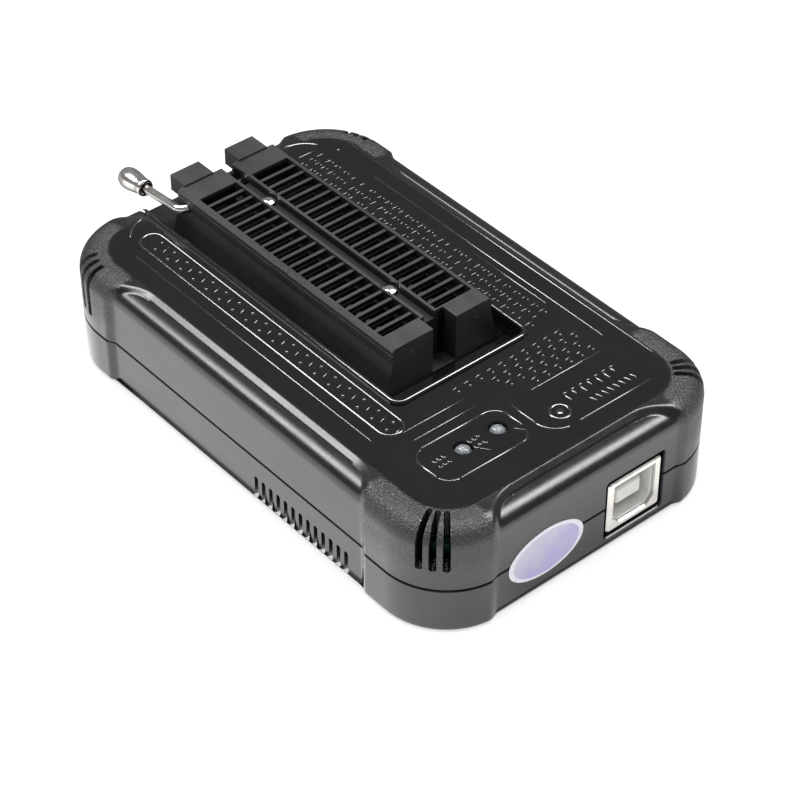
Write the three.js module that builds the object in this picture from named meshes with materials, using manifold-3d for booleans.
// USB microcontroller programmer: a palm-sized moulded case with a 40-way zero-insertion-force
// (ZIF) socket on top, its locking lever, a USB-B port in front and one circuit board inside.
//
// Units are millimetres and +Z is up. The origin lies on the case's flat underside, on its centre
// line and just ahead of its middle. +Y runs along the case from the USB end to the lever end, and
// -X is the side the lever is on.

import * as THREE from 'three';
import { mergeVertices } from 'three/addons/utils/BufferGeometryUtils.js';
import loadManifold from 'manifold-3d';

const wasm = await loadManifold();
wasm.setup();

// ---------------------------------------------------------------- driving dimensions

const CASE = {
  halfWidth: 33,
  frontY: -51.5,
  backY: 54.2,
  height: 21.3,
  wall: 2,
  frontLobeRadius: 13,
  rearLobeRadius: 14,
  topEdgeRadius: 3.5,
  bottomEdgeRadius: 0.4,
  sideInset: 0.83,
  endInset: 0.55,
  creaseRun: 2,
  frontCreaseY: -33.4,
  backCreaseY: 37,
  partingZ: 8.9,
  partingGap: 0.3,
};

// The side and front panels' shoulders lie lower than the lobes', with a sloping band above.
const PANEL_SHOULDER = { run: 4.67, drop: 0.82 };

const PIT = {
  halfWidth: 14.2,
  frontY: -19.6,
  backY: 50.65,
  floorZ: 17.9,
  floorThickness: 1.5,
  wall: 1.5,
  lipHeight: 0.5,
  lipWidth: 0.9,
  cornerRadius: 2.4,
};

const BOARD = {
  bottomZ: 13.8,
  thickness: 1.6,
  halfWidth: 29.2,
  frontY: -47.6,
  backY: 50.2,
  cornerRadius: 9.5,
};
const BOARD_TOP = BOARD.bottomZ + BOARD.thickness;

const USB = { centreX: 10.5, width: 12, height: 10.9, depth: 16, frontY: -50.85, skin: 0.4 };

const PITCH = 2.54;
const SOCKET = {
  rows: 20,
  topZ: 28,
  deckZ: 27.6,
  deckThickness: 1.2,
  frontY: -14.5,
  backY: 44.5,
  earBackY: 48.5,
  firstSlotY: 38.58,
  slotLength: 8.1,
  slotWidth: 1.9,
  rowCentreX: 5.8,
  wallTopX: 10.95,
  wallFootX: 12.6,
  cavityX: 10.3,
  footZ: 16.5,
  channelHalfWidth: 1.15,
};
const SLIDER = { bottomZ: 22.8, topZ: 23.9, travel: 0.7 };
const LEVER = { y: 41.8, z: 25, rodRadius: 0.8, armX: -12.3, droopDeg: -5.5, armLength: 14.9 };

const GAP = 0.3;
const SCREW_SPOTS = [[-24.5, -42.5], [24.5, -42.5], [-24.5, 43], [24.5, 43]];
const FOOT_SPOTS = [[-22, -33.5], [22, -33.5], [-22, 34], [22, 34]];
const CORNERS = ['front_left', 'front_right', 'rear_left', 'rear_right'];
const LED_SPOTS = { led_power: [-13.1, -34.6], led_run: [-5.6, -34.6] };
const RIVET_SPOTS = { zif_rivet_front: -0.8, zif_rivet_rear: 32.4 };

// ---------------------------------------------------------------- colours

const FINISH = {
  caseShell: { color: 0x17181a, roughness: 0.42, metalness: 0 },
  socketShell: { color: 0x202224, roughness: 0.5, metalness: 0 },
  steel: { color: 0xc9c6c0, roughness: 0.18, metalness: 1 },
  nickel: { color: 0xd4d0c6, roughness: 0.3, metalness: 1 },
  gold: { color: 0xd8b15a, roughness: 0.3, metalness: 1 },
  board: { color: 0x1d5a34, roughness: 0.5, metalness: 0.1 },
  chip: { color: 0x1a1a1c, roughness: 0.6, metalness: 0 },
  white: { color: 0xe9e6dd, roughness: 0.5, metalness: 0 },
  rubber: { color: 0x101010, roughness: 0.9, metalness: 0 },
  label: { color: 0xb7afe0, roughness: 0.25, metalness: 0 },
  lens: { color: 0xe8eef0, roughness: 0.15, metalness: 0 },
  canBlue: { color: 0x24365e, roughness: 0.4, metalness: 0.3 },
};

// ---------------------------------------------------------------- solids and booleans

function toSolid(geometry) {
  const bare = geometry.clone();
  bare.deleteAttribute('normal');
  bare.deleteAttribute('uv');
  const merged = mergeVertices(bare, 1e-4);
  return new wasm.Manifold(new wasm.Mesh({
    numProp: 3,
    vertProperties: new Float32Array(merged.attributes.position.array),
    triVerts: new Uint32Array(merged.index.array),
  }));
}

function toGeometry(solid) {
  const mesh = solid.getMesh();
  const geometry = new THREE.BufferGeometry();
  geometry.setAttribute('position', new THREE.BufferAttribute(mesh.vertProperties, 3));
  geometry.setIndex(new THREE.BufferAttribute(mesh.triVerts, 1));
  geometry.computeVertexNormals();
  return geometry;
}

const joinAll = (first, others) => others.reduce((sum, solid) => sum.add(solid), first);
const cutAll = (first, others) => others.reduce((rest, solid) => rest.subtract(solid), first);

function box(x0, x1, y0, y1, z0, z1) {
  const geometry = new THREE.BoxGeometry(x1 - x0, y1 - y0, z1 - z0);
  geometry.translate((x0 + x1) / 2, (y0 + y1) / 2, (z0 + z1) / 2);
  return toSolid(geometry);
}

// An upright prism of a plan outline. A bevel rounds the top and bottom edges inwards.
function upright(shape, z0, z1, bevel = 0, bevelSegments = 4, arcSteps = 4) {
  const geometry = new THREE.ExtrudeGeometry(shape, {
    depth: z1 - z0 - 2 * bevel,
    bevelEnabled: bevel > 0,
    bevelThickness: bevel,
    bevelSize: bevel,
    bevelOffset: -bevel,
    bevelSegments,
    curveSegments: arcSteps,
  });
  geometry.translate(0, 0, z0 + bevel);
  return toSolid(geometry);
}

// A prism along Y of an outline drawn in X and Z.
function alongY(points, y0, y1) {
  const shape = new THREE.Shape(points.map(([x, z]) => new THREE.Vector2(x, z)));
  const geometry = new THREE.ExtrudeGeometry(shape, { depth: y1 - y0, bevelEnabled: false });
  geometry.rotateX(Math.PI / 2);
  geometry.translate(0, y1, 0);
  return toSolid(geometry);
}

function pillar(x, y, radius, z0, z1, sides = 24) {
  const geometry = new THREE.CylinderGeometry(radius, radius, z1 - z0, sides);
  geometry.rotateX(Math.PI / 2);
  geometry.translate(x, y, (z0 + z1) / 2);
  return toSolid(geometry);
}

function rodAlongX(x0, x1, y, z, radius, sides = 20) {
  const geometry = new THREE.CylinderGeometry(radius, radius, x1 - x0, sides);
  geometry.rotateZ(Math.PI / 2);
  geometry.translate((x0 + x1) / 2, y, z);
  return toSolid(geometry);
}

// A turned piece standing on Z at (x, y): the profile lists radius and height, axis to axis.
function turned(profile, x, y, segments = 24) {
  const points = profile.map(([radius, height]) => new THREE.Vector2(radius, height));
  const geometry = new THREE.LatheGeometry(points, segments);
  geometry.rotateX(Math.PI / 2);
  geometry.translate(x, y, 0);
  return toSolid(geometry);
}

function roundedRectangle(x0, x1, y0, y1, radius) {
  const shape = new THREE.Shape();
  shape.moveTo(x0 + radius, y0);
  shape.absarc(x1 - radius, y0 + radius, radius, -Math.PI / 2, 0, false);
  shape.absarc(x1 - radius, y1 - radius, radius, 0, Math.PI / 2, false);
  shape.absarc(x0 + radius, y1 - radius, radius, Math.PI / 2, Math.PI, false);
  shape.absarc(x0 + radius, y0 + radius, radius, Math.PI, Math.PI * 1.5, false);
  return shape;
}

// ---------------------------------------------------------------- the case

// The plan outline: four corner lobes that bulge past the inset side and end panels.
function caseOutline() {
  const { halfWidth, frontY, backY, frontLobeRadius, rearLobeRadius, creaseRun } = CASE;
  const frontX = halfWidth - frontLobeRadius;
  const rearX = halfWidth - rearLobeRadius;
  const panelX = halfWidth - CASE.sideInset;
  const shape = new THREE.Shape();
  const quarter = Math.PI / 2;
  const turnIn = 0.08;
  shape.moveTo(-frontX, frontY + CASE.endInset);
  shape.lineTo(frontX, frontY + CASE.endInset);
  shape.absarc(frontX, frontY + frontLobeRadius, frontLobeRadius, turnIn - quarter, 0, false);
  shape.lineTo(halfWidth, CASE.frontCreaseY);
  shape.lineTo(panelX, CASE.frontCreaseY + creaseRun);
  shape.lineTo(panelX, CASE.backCreaseY - creaseRun);
  shape.lineTo(halfWidth, CASE.backCreaseY);
  shape.absarc(rearX, backY - rearLobeRadius, rearLobeRadius, 0, quarter - turnIn, false);
  shape.lineTo(rearX, backY - CASE.endInset);
  shape.lineTo(-rearX, backY - CASE.endInset);
  shape.absarc(-rearX, backY - rearLobeRadius, rearLobeRadius, quarter + turnIn, Math.PI, false);
  shape.lineTo(-halfWidth, CASE.backCreaseY);
  shape.lineTo(-panelX, CASE.backCreaseY - creaseRun);
  shape.lineTo(-panelX, CASE.frontCreaseY + creaseRun);
  shape.lineTo(-halfWidth, CASE.frontCreaseY);
  shape.absarc(-frontX, frontY + frontLobeRadius, frontLobeRadius, Math.PI, quarter * 3 - turnIn, false);
  return shape;
}

// A plain rounded rectangle that lies a given depth inside the case's side panels.
function insideCase(depth) {
  const x = CASE.halfWidth - CASE.sideInset - depth;
  const inset = CASE.endInset + depth;
  return roundedRectangle(-x, x, CASE.frontY + inset, CASE.backY - inset,
    CASE.frontLobeRadius - depth);
}

// What the long side panels lose at their upper edge: a sloping band, then a lowered shoulder.
function panelShoulders() {
  const { run, drop } = PANEL_SHOULDER;
  const { height, topEdgeRadius, sideInset, frontCreaseY, backCreaseY, creaseRun } = CASE;
  const panelX = CASE.halfWidth - sideInset;
  const arc = Array.from({ length: 6 }, (_, i) => {
    const turn = (Math.PI / 2) * (1 - i / 5);
    return [
      panelX - topEdgeRadius * (1 - Math.cos(turn)),
      height - drop - topEdgeRadius * (1 - Math.sin(turn)),
    ];
  });
  const edge = [
    [panelX - run, height + 0.01],
    ...arc,
    [panelX + 2, height - 5],
    [panelX + 2, height + 1],
  ];
  const right = alongY(edge, frontCreaseY + creaseRun, backCreaseY - creaseRun);
  return [right, right.mirror([1, 0, 0])];
}

// The window in the front wall that the USB port looks out of.
function usbWindow() {
  const edge = 0.6;
  const x = USB.width / 2 + edge;
  const z0 = BOARD.bottomZ - USB.height - edge;
  return box(USB.centreX - x, USB.centreX + x, CASE.frontY - 1, CASE.frontY + 6,
    z0, BOARD.bottomZ + edge);
}

// Three upright slots through one corner lobe, fanned about the lobe's own centre.
function lobeSlots(side, radius, centreY, middleDeg, reach, footZ) {
  const width = 1;
  const topZ = 23.4;
  const stepDeg = 10;
  return [-1, 0, 1].map((k) => {
    const geometry = new THREE.BoxGeometry(reach + 1, width, topZ - footZ);
    geometry.translate(radius + 1 - (reach + 1) / 2, 0, (topZ + footZ) / 2);
    geometry.rotateZ(THREE.MathUtils.degToRad(middleDeg + k * stepDeg));
    geometry.translate(side * (CASE.halfWidth - radius), centreY, 0);
    return toSolid(geometry);
  });
}

function cornerSlots() {
  const { frontY, backY, frontLobeRadius, rearLobeRadius } = CASE;
  const front = { centreY: frontY + frontLobeRadius, reach: 5.4, footZ: 13.4 };
  const rear = { centreY: backY - rearLobeRadius, reach: 3.4, footZ: 12 };
  return [
    ...lobeSlots(-1, frontLobeRadius, front.centreY, -141, front.reach, front.footZ),
    ...lobeSlots(1, frontLobeRadius, front.centreY, -31, front.reach, front.footZ),
    ...lobeSlots(-1, rearLobeRadius, rear.centreY, 161, rear.reach, rear.footZ),
    ...lobeSlots(1, rearLobeRadius, rear.centreY, 19, rear.reach, rear.footZ),
  ];
}

// The pit around the socket: a tray within the case and a raised lip, open at the rear.
function pitBody(caseSolid) {
  const side = PIT.halfWidth + PIT.wall;
  const tray = roundedRectangle(-side, side, PIT.frontY - PIT.wall, 60, PIT.cornerRadius);
  const lip = roundedRectangle(-PIT.halfWidth - PIT.lipWidth, PIT.halfWidth + PIT.lipWidth,
    PIT.frontY - PIT.lipWidth, 60, PIT.cornerRadius);
  return upright(tray, PIT.floorZ - PIT.floorThickness, CASE.height - 0.5)
    .intersect(caseSolid)
    .add(upright(lip, CASE.height - 1, CASE.height + PIT.lipHeight)
      .subtract(box(-40, 40, PIT.backY, 70, 0, 40)));
}

function pitHollow() {
  const pit = roundedRectangle(-PIT.halfWidth, PIT.halfWidth, PIT.frontY, 70, PIT.cornerRadius - 1);
  const well = box(-SOCKET.wallFootX - GAP, SOCKET.wallFootX + GAP,
    SOCKET.frontY - GAP, SOCKET.backY + GAP, 10, 30);
  return upright(pit, PIT.floorZ, 40).add(well);
}

function upperShell() {
  const { height, partingZ, partingGap, wall } = CASE;
  const outer = upright(caseOutline(), -10, height, CASE.topEdgeRadius, 4, 7);
  const bossTop = height - wall + 0.5;
  const hollow = upright(insideCase(wall), -10, height - wall, CASE.topEdgeRadius - wall, 2);
  const rebate = upright(insideCase(1), -10, partingZ + partingGap / 2 + 1.7);
  const bosses = SCREW_SPOTS.map(([x, y]) => pillar(x, y, 3, BOARD_TOP + GAP, bossTop, 14));
  const pilots = SCREW_SPOTS.map(([x, y]) => pillar(x, y, 1.5, BOARD_TOP, bossTop - 1.5, 10));
  const belowParting = box(-60, 60, -80, 80, -20, partingZ + partingGap / 2);
  const lights = Object.values(LED_SPOTS).map(([x, y]) => pillar(x, y, 1.8, 15, 30, 16));
  const skin = outer.subtract(hollow).subtract(rebate).subtract(belowParting);
  const body = joinAll(skin.add(pitBody(outer)), bosses);
  return cutAll(body, [
    pitHollow(),
    usbWindow(),
    ...pilots,
    ...lights,
    ...cornerSlots(),
    ...panelShoulders(),
  ]);
}

// Thirteen narrow vents at the foot of each long side wall.
function footVents() {
  const count = 13;
  const step = 1.983;
  const firstY = -27.7;
  const width = 0.85;
  return [-1, 1].flatMap((side) => Array.from({ length: count }, (_, i) => {
    const y = firstY + i * step;
    const x = side * CASE.halfWidth;
    return box(Math.min(x, x - side * 3.6), Math.max(x, x - side * 3.6),
      y - width / 2, y + width / 2, -1, 4.7);
  }));
}

function lowerShell() {
  const { height, partingZ, partingGap, wall } = CASE;
  const top = partingZ - partingGap / 2;
  const outer = upright(caseOutline(), 0, height, CASE.bottomEdgeRadius, 2, 7);
  const hollow = upright(insideCase(wall), wall, height + 10);
  const tongue = upright(insideCase(1.3), top - 2, top + 1.5)
    .subtract(upright(insideCase(2), top - 3, top + 3));
  const posts = SCREW_SPOTS.map(([x, y]) => pillar(x, y, 3, wall - 0.5, BOARD.bottomZ - GAP, 14));
  const bores = SCREW_SPOTS.flatMap(([x, y]) => [
    pillar(x, y, 1.7, -1, BOARD.bottomZ + 1, 12),
    pillar(x, y, 2.9, -1, 1.4, 14),
  ]);
  const footPockets = FOOT_SPOTS.map(([x, y]) => pillar(x, y, 4.3, -1, 0.7, 18));
  const skin = outer.subtract(hollow).subtract(box(-60, 60, -80, 80, top, 60));
  const body = joinAll(skin.add(tongue), posts);
  return cutAll(body, [usbWindow(), ...bores, ...footPockets, ...footVents()]);
}

function caseScrew([x, y]) {
  const head = 2.5;
  const shank = 1.2;
  return turned([[0, 0.15], [head * 0.7, 0.15], [head, 0.5], [head, 1.1], [shank, 1.1],
    [shank, 17], [0, 18]], x, y, 12)
    .subtract(box(x - 0.3, x + 0.3, y - 1.6, y + 1.6, -1, 0.6))
    .subtract(box(x - 1.6, x + 1.6, y - 0.3, y + 0.3, -1, 0.6));
}

function rubberFoot([x, y]) {
  return turned([[0, -0.4], [3.5, -0.4], [4, 0], [4, 0.4], [0, 0.4]], x, y, 18);
}

// ---------------------------------------------------------------- board and its parts

function mainBoard() {
  const { halfWidth, frontY, backY, cornerRadius, bottomZ } = BOARD;
  const plate = upright(
    roundedRectangle(-halfWidth, halfWidth, frontY, backY, cornerRadius),
    bottomZ, BOARD_TOP,
  );
  const screwHoles = SCREW_SPOTS.map(([x, y]) => pillar(x, y, 1.7, 10, 20, 12));
  return cutAll(plate, screwHoles);
}

// A flat chip hung under the board, its short lead rows standing proud on both long edges.
function boardChip(x, y, width, length, height) {
  const top = BOARD.bottomZ - GAP;
  const body = box(x - width / 2, x + width / 2, y - length / 2, y + length / 2,
    top - height, top - 0.2);
  const leadCount = Math.round(length / PITCH * 2) - 1;
  const leads = Array.from({ length: leadCount }, (_, i) => {
    const leadY = y + (i - (leadCount - 1) / 2) * PITCH / 2;
    return box(x - width / 2 - 0.9, x + width / 2 + 0.9, leadY - 0.2, leadY + 0.2, top - 0.35, top);
  });
  return joinAll(body, leads);
}

// A round part hung under the board, such as a capacitor can or an inductor.
function boardCan(x, y, radius, height, bevel) {
  const top = BOARD.bottomZ - GAP;
  return turned([[0, top - height], [radius - bevel, top - height], [radius, top - height + bevel],
    [radius, top - 1], [radius - 0.3, top - 0.8], [radius - 0.3, top], [0, top]], x, y, 16);
}

function crystalCan(x, y) {
  const top = BOARD.bottomZ - GAP;
  const can = roundedRectangle(x - 5.3, x + 5.3, y - 2.2, y + 2.2, 2.15);
  const flange = roundedRectangle(x - 5.6, x + 5.6, y - 2.5, y + 2.5, 2.4);
  return upright(can, top - 3.5, top - 0.2).add(upright(flange, top - 0.5, top));
}

// A 3 mm light-emitting diode that stands on the board and shows in its hole in the top.
function ledBody([x, y]) {
  const foot = BOARD_TOP + GAP;
  const tip = CASE.height + 0.2;
  const radius = 1.5;
  const dome = Array.from({ length: 5 }, (_, i) => {
    const turn = (i * Math.PI) / 8;
    return [radius * Math.cos(turn), tip - radius + radius * Math.sin(turn)];
  });
  dome[4][0] = 0;
  return turned([[0, foot], [1.9, foot], [1.9, foot + 1], [radius, foot + 1], ...dome], x, y, 14);
}

// ---------------------------------------------------------------- USB-B port

const USB_TOP = BOARD.bottomZ - GAP;
const USB_BOTTOM = BOARD.bottomZ - USB.height;
const USB_MID_Z = (USB_TOP + USB_BOTTOM) / 2;

// The mouth is a rectangle with its two lower corners cut off.
function usbMouth(halfWidth, halfHeight, y0, y1) {
  const { centreX } = USB;
  const cut = 1.6;
  return alongY([
    [centreX - halfWidth + cut, USB_MID_Z - halfHeight],
    [centreX + halfWidth - cut, USB_MID_Z - halfHeight],
    [centreX + halfWidth, USB_MID_Z - halfHeight + cut],
    [centreX + halfWidth, USB_MID_Z + halfHeight],
    [centreX - halfWidth, USB_MID_Z + halfHeight],
    [centreX - halfWidth, USB_MID_Z - halfHeight + cut],
  ], y0, y1);
}

function usbShell() {
  const { centreX, width, skin, frontY, depth } = USB;
  const outer = box(centreX - width / 2, centreX + width / 2, frontY, frontY + depth,
    USB_BOTTOM, USB_TOP);
  const inner = box(centreX - width / 2 + skin, centreX + width / 2 - skin,
    frontY + skin, frontY + depth + 1, USB_BOTTOM + skin, USB_TOP - skin);
  return outer.subtract(inner).subtract(usbMouth(4.6, 4.2, frontY - 1, frontY + 2));
}

function usbInsulator() {
  const { centreX, width, skin, frontY, depth } = USB;
  const gap = 0.15;
  const x = width / 2 - skin - gap;
  const front = frontY + skin + gap;
  const back = frontY + depth - 0.5;
  const block = box(centreX - x, centreX + x, front, back,
    USB_BOTTOM + skin + gap, USB_TOP - skin - gap);
  const tongue = box(centreX - 2.8, centreX + 2.8, front + 0.8, front + 10,
    USB_MID_Z - 1.6, USB_MID_Z + 1.6);
  return block.subtract(usbMouth(4.25, 3.9, front - 1, front + 9)).add(tongue);
}

// One of four spring contacts, lying along the tongue's upper or lower face.
function usbContact(column, row) {
  const x = USB.centreX + column * 1.25;
  const z = USB_MID_Z + row * 2.1;
  return box(x - 0.5, x + 0.5, USB.frontY + 2.2, USB.frontY + 9.2, z - 0.15, z + 0.15);
}

// The oval label stuck on the front panel, across the parting line.
function frontLabel() {
  const outline = new THREE.Shape();
  outline.absellipse(-9.4, 7.9, 8.2, 5, 0, Math.PI * 2, false);
  const geometry = new THREE.ExtrudeGeometry(outline, {
    depth: 0.2,
    bevelEnabled: false,
    curveSegments: 18,
  });
  geometry.rotateX(Math.PI / 2);
  geometry.translate(0, CASE.frontY + CASE.endInset - 0.2, 0);
  return toSolid(geometry);
}

// ---------------------------------------------------------------- ZIF socket

const slotY = (index) => SOCKET.firstSlotY - index * PITCH;
const slotIndices = Array.from({ length: SOCKET.rows }, (_, i) => i);
const SIDES = [-1, 1];

// One rectangular hole per contact position, in both rows.
function slotHoles(length, width, shiftY, z0, z1) {
  return SIDES.flatMap((side) => slotIndices.map((i) => {
    const x = side * SOCKET.rowCentreX;
    const y = slotY(i) + shiftY;
    return box(x - length / 2, x + length / 2, y - width / 2, y + width / 2, z0, z1);
  }));
}

function rivetHoles(radius, z0, z1) {
  return Object.values(RIVET_SPOTS).map((y) => pillar(0, y, radius, z0, z1, 14));
}

// The socket's outer cover: slotted deck, flared side walls, front face and two rear ears.
function socketCover() {
  const { wallTopX, wallFootX, footZ, deckZ, topZ, frontY, backY, earBackY, channelHalfWidth } = SOCKET;
  const profile = [
    [-wallFootX, footZ], [wallFootX, footZ], [wallFootX, 18.5], [11.6, 21.5], [wallTopX, 24.5],
    [wallTopX, deckZ - 0.5], [wallTopX - 0.5, deckZ], [-wallTopX + 0.5, deckZ],
    [-wallTopX, deckZ - 0.5], [-wallTopX, 24.5], [-11.6, 21.5], [-wallFootX, 18.5],
  ];
  const earSpans = [[-9.6, -3.3], [2.6, 8.9]];
  const ears = earSpans.map(([x0, x1]) => box(x0, x1, 44.3, earBackY, 24.7, topZ)
    .add(box(x0, x1, backY - 0.4, backY, deckZ - 1, topZ)));
  const cavity = box(-SOCKET.cavityX, SOCKET.cavityX, frontY + 1.2, backY - 1,
    footZ - 1, deckZ - SOCKET.deckThickness);
  const spine = box(-1.75, 1.75, frontY + 1, 39.4, 25.4, deckZ);
  const shaftWeb = box(-SOCKET.cavityX - 0.1, SOCKET.cavityX + 0.1, 39.6, backY - 0.5,
    24.2, deckZ - 1);
  const forkWindow = box(-2.9, 2.9, 43, backY + 1, SLIDER.bottomZ - GAP, SLIDER.topZ + GAP);
  const frontNotch = box(-2.1, 3, frontY - 1, -11, 18.2, 30);
  const notchWall = box(-3.2, 4.1, -11, -9.9, footZ, 26);
  const channel = box(-channelHalfWidth, channelHalfWidth, -20, 50, 26.1, 30);
  const scallops = Object.values(RIVET_SPOTS).map((y) => pillar(0, y, 1.65, 26.1, 30, 20));
  const rowRecess = SIDES.map((side) => {
    const x = side * SOCKET.rowCentreX;
    const half = SOCKET.slotLength / 2;
    return box(x - half, x + half, slotY(19) - 0.95, slotY(0) + 0.95, deckZ - 0.4, 30);
  });
  const notchSides = [box(-3.2, -2.1, frontY, -10, footZ, 26.6), box(3, 4.1, frontY, -10, footZ, 26.6)];
  const notchSill = box(-3, 4, frontY, -10, footZ, 18.2);
  const shell = alongY(profile, frontY, backY).subtract(cavity);
  const body = joinAll(shell, [...ears, spine, shaftWeb, notchWall, ...notchSides, notchSill]);
  return cutAll(body, [
    frontNotch,
    channel,
    ...scallops,
    ...rowRecess,
    ...slotHoles(SOCKET.slotLength, SOCKET.slotWidth, 0, 25, 30),
    ...rivetHoles(1, 20, 30),
    rodAlongX(-14, 14, LEVER.y, LEVER.z, LEVER.rodRadius + 0.15),
    box(-1.75, 1.75, 39.4, 43.75, 24, 27),
    forkWindow,
  ]);
}

// The base block on the board. Each contact stands in its own stepped pocket.
function socketBase() {
  const block = box(-9.9, 9.9, -9.4, 43.1, BOARD_TOP + GAP, 21.8);
  return cutAll(block, [
    ...slotHoles(7.6, 1, 0, 18.8, 25),
    ...slotHoles(1.2, 1, 0, 15, 19),
    ...rivetHoles(1, 15, 25),
  ]);
}

// The plate that presses on the contacts. The lever's cam pushes it to the rear to free a chip.
function socketSlider() {
  const { bottomZ, topZ, travel } = SLIDER;
  const plate = box(-9.9, 9.9, -9.7, 39.9, bottomZ, topZ);
  const fork = box(-2.6, 2.6, 39, LEVER.y + 1.8, bottomZ, topZ);
  const window = box(-1.6, 1.6, LEVER.y - 1.35, LEVER.y + 1.3, 20, 30);
  const rivetSlots = Object.values(RIVET_SPOTS)
    .map((y) => box(-1, 1, y - 1 - travel, y + 1, 20, 30));
  return cutAll(plate.add(fork), [
    window,
    ...rivetSlots,
    ...slotHoles(7.6, 1.7, -travel / 2, 20, 30),
  ]);
}

// Twenty contact blades of one row, with their tails, held by one moulded carrier strip.
function contactRow(side) {
  const x = side * SOCKET.rowCentreX;
  const strip = box(x - 0.5, x + 0.5, slotY(19) - 0.6, slotY(0) + 0.6, 22.1, 22.5);
  const blades = slotIndices.flatMap((i) => {
    const y = slotY(i);
    return [
      box(x - 0.5, x + 0.5, y - 0.2, y + 0.2, 19.1, 23.7),
      box(x - 0.3, x + 0.3, y - 0.2, y + 0.2, BOARD_TOP + GAP, 19.5),
    ];
  });
  return joinAll(strip, blades);
}

function rivet(y) {
  return turned([[0, BOARD_TOP + GAP], [0.7, BOARD_TOP + GAP], [0.7, 26.4], [1.35, 26.4],
    [1.25, 26.75], [0.7, 27], [0, 27.05]], 0, y, 16);
}

// ---------------------------------------------------------------- lever

// A bent steel rod: the shaft through the socket with its cam, the elbow, and the arm.
function leverRod() {
  const { y, z, rodRadius, armX } = LEVER;
  const bend = 1.8;
  const path = new THREE.CurvePath();
  const droop = THREE.MathUtils.degToRad(LEVER.droopDeg);
  const ahead = new THREE.Vector3(0, Math.cos(droop), Math.sin(droop));
  const corner = new THREE.Vector3(armX, y, z);
  const shaftEnd = new THREE.Vector3(10.9, y, z);
  const elbowIn = new THREE.Vector3(armX + bend, y, z);
  const elbowOut = corner.clone().addScaledVector(ahead, bend);
  const armEnd = corner.clone().addScaledVector(ahead, LEVER.armLength - 2.6);
  path.add(new THREE.LineCurve3(shaftEnd, elbowIn));
  path.add(new THREE.QuadraticBezierCurve3(elbowIn, corner, elbowOut));
  path.add(new THREE.LineCurve3(elbowOut, armEnd));
  const section = new THREE.Shape();
  section.absarc(0, 0, rodRadius, 0, Math.PI * 2, false);
  const geometry = new THREE.ExtrudeGeometry(section, {
    steps: 30,
    extrudePath: path,
    curveSegments: 6,
  });
  const cam = rodAlongX(-1.3, 1.3, y, z - SLIDER.travel, 1.1, 16);
  return toSolid(geometry).add(cam);
}

// The pear-shaped knob pressed on the arm's end: its mouth is open around the rod.
function leverKnob() {
  const profile = [[0, -2.3], [0.95, -2.3], [0.95, -4.15], [1.4, -4.15], [1.65, -3.8],
    [1.65, -2.9], [1.95, -1.1], [2.12, 0.4], [2.04, 1.4], [1.6, 2.3], [0.9, 2.85], [0, 3.05]];
  const points = profile.map(([radius, along]) => new THREE.Vector2(radius, along));
  const geometry = new THREE.LatheGeometry(points, 20);
  geometry.translate(0, LEVER.armLength, 0);
  geometry.rotateX(THREE.MathUtils.degToRad(LEVER.droopDeg));
  geometry.translate(LEVER.armX, LEVER.y, LEVER.z);
  return toSolid(geometry);
}

// ---------------------------------------------------------------- assembly

const programmer = new THREE.Group();

function place(name, solid, finish) {
  const mesh = new THREE.Mesh(toGeometry(solid), new THREE.MeshStandardMaterial(finish));
  mesh.name = name;
  programmer.add(mesh);
}

place('lower_shell', lowerShell(), FINISH.caseShell);
place('upper_shell', upperShell(), FINISH.caseShell);
CORNERS.forEach((corner, i) => {
  place(`case_screw_${corner}`, caseScrew(SCREW_SPOTS[i]), FINISH.steel);
  place(`rubber_foot_${corner}`, rubberFoot(FOOT_SPOTS[i]), FINISH.rubber);
});
place('front_label', frontLabel(), FINISH.label);

place('main_board', mainBoard(), FINISH.board);
place('microcontroller', boardChip(-8, -22, 13, 13, 1.5), FINISH.chip);
place('crystal', crystalCan(-8, -36), FINISH.nickel);
place('vpp_inductor', boardCan(20, -22, 3.5, 4, 0.5), FINISH.chip);
place('input_capacitor', boardCan(22, -10, 3.1, 7, 0.3), FINISH.canBlue);
place('vpp_capacitor', boardCan(22, 0, 3.1, 7, 0.3), FINISH.canBlue);
[-2, 10, 22, 34].forEach((y, i) => {
  place(`pin_driver_${i + 1}`, boardChip(-4, y, 6, 9.5, 1.7), FINISH.chip);
});
Object.entries(LED_SPOTS).forEach(([name, spot]) => place(name, ledBody(spot), FINISH.lens));

place('usb_shell', usbShell(), FINISH.nickel);
place('usb_insulator', usbInsulator(), FINISH.white);
[[-1, 1], [1, 1], [-1, -1], [1, -1]].forEach(([column, row], i) => {
  place(`usb_contact_${i + 1}`, usbContact(column, row), FINISH.gold);
});

place('zif_cover', socketCover(), FINISH.socketShell);
place('zif_base', socketBase(), FINISH.socketShell);
place('zif_slider', socketSlider(), FINISH.socketShell);
place('zif_contacts_left', contactRow(-1), FINISH.gold);
place('zif_contacts_right', contactRow(1), FINISH.gold);
Object.entries(RIVET_SPOTS).forEach(([name, y]) => place(name, rivet(y), FINISH.steel));

place('lever_rod', leverRod(), FINISH.steel);
place('lever_knob', leverKnob(), FINISH.steel);

export default programmer;
